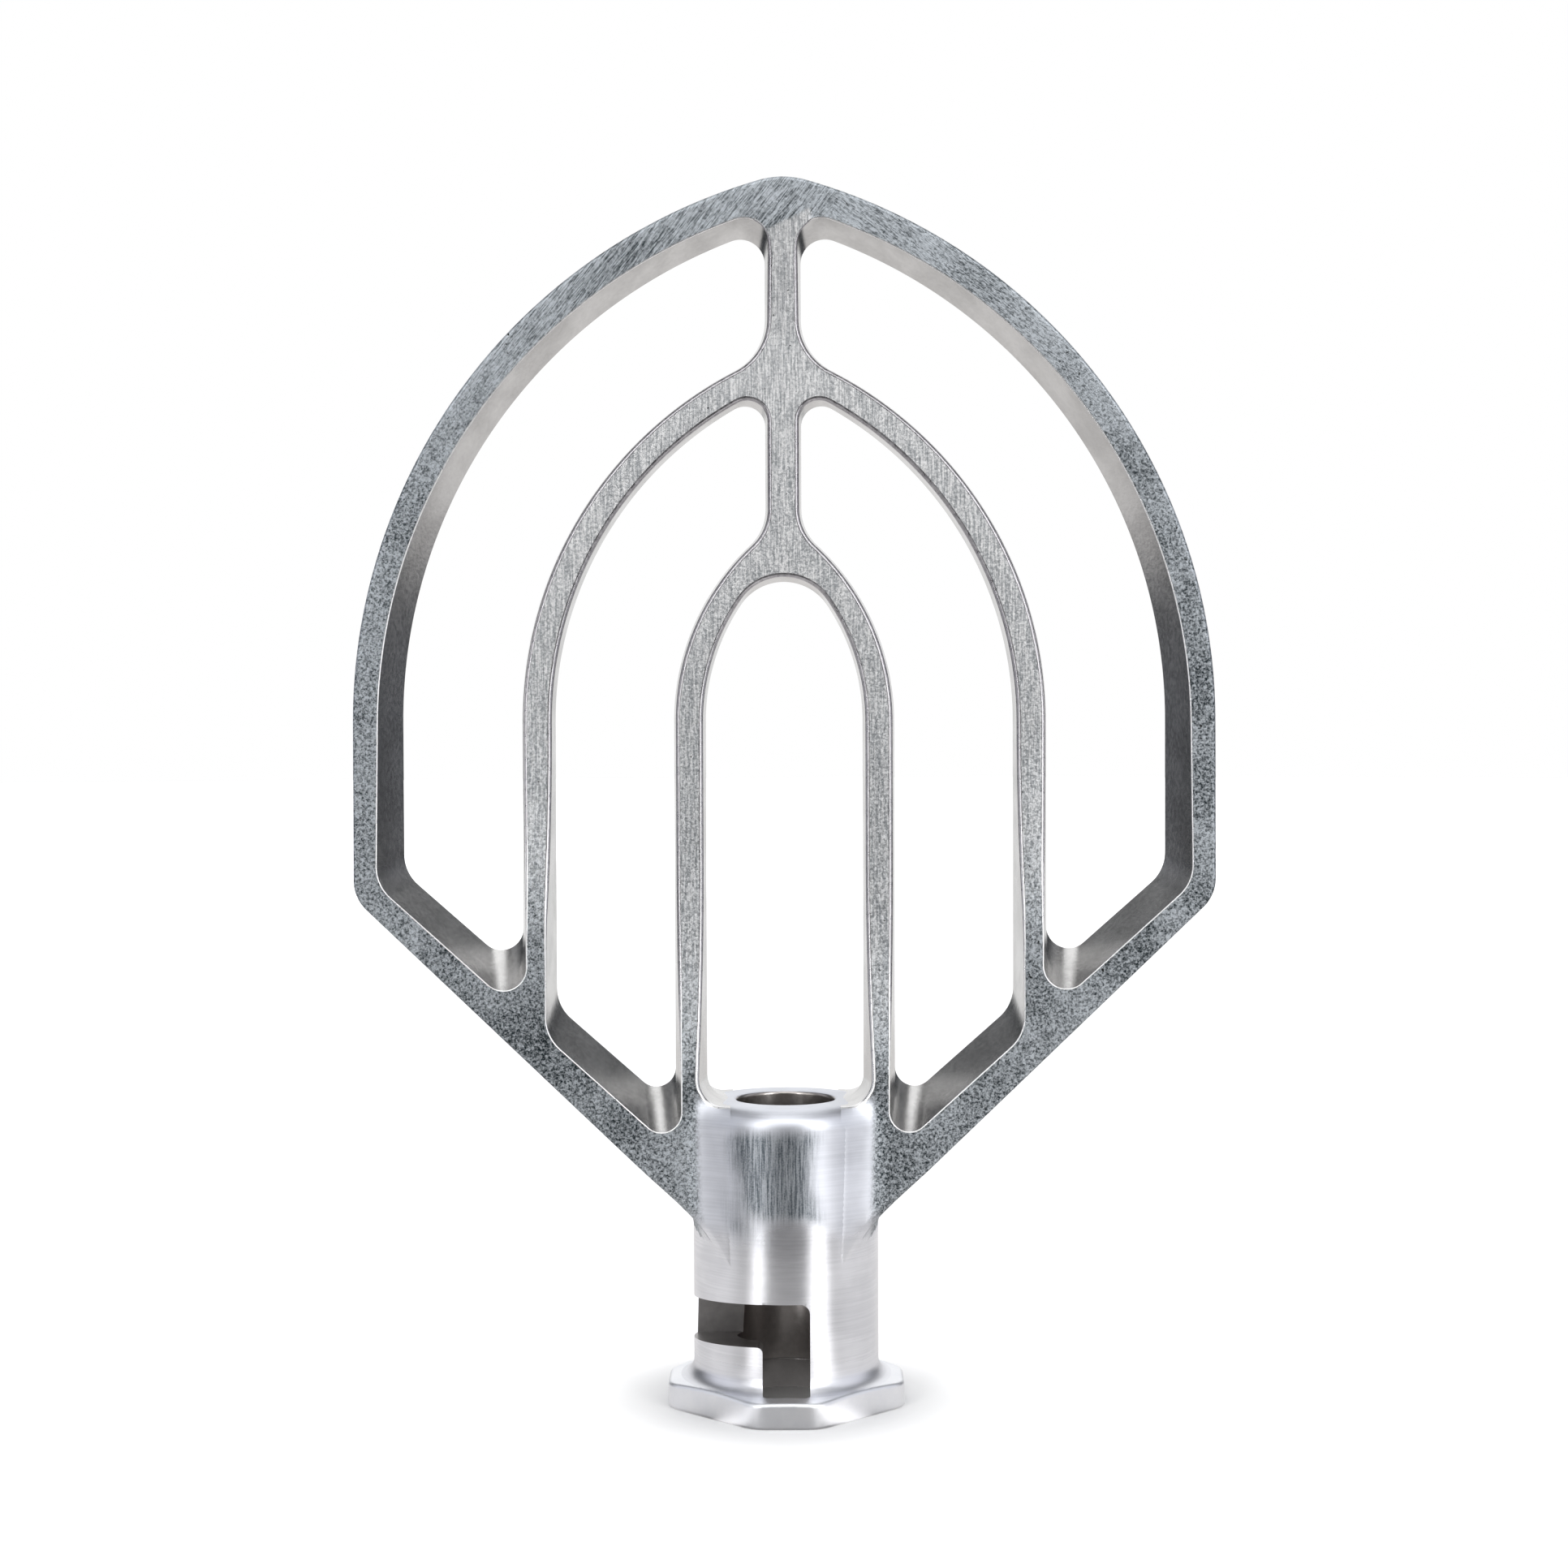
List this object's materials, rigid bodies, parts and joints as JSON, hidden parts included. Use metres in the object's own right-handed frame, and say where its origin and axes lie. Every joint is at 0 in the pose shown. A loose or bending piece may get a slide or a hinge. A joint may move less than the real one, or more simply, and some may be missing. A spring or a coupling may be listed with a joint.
{
  "type": "mixing paddle",
  "caption": "Flat leaf-shaped mixing beater with a bevelled rim, inner arched ribs and a bored hub that has an octagonal flange and a bayonet slot.",
  "frame": {"origin": "centre of the hub flange's flat end face, on the shaft axis", "axes": "+Z along the shaft axis from the flange to the crown, +X across the blade, -Y is the side that the entry slot opens on"},
  "size_m": [0.2094, 0.0586, 0.3002],
  "materials": {
    "hub": "turned and polished",
    "rim": "sanded, mottled",
    "ribs": "brushed"
  },
  "bodies": {
    "root": {"hub_barrel": "hub", "hub_flange": "hub", "arm_right": "rim", "arm_left": "rim", "side_right": "rim", "side_left": "rim", "bow_right": "rim", "bow_left": "rim", "crown": "rim", "spine": "ribs", "middle_rib_right": "ribs", "middle_rib_left": "ribs", "middle_arch_right": "ribs", "middle_arch_left": "ribs", "inner_rib_right": "ribs", "inner_rib_left": "ribs", "inner_arch_right": "ribs", "inner_arch_left": "ribs"}
  },
  "joints": []
}
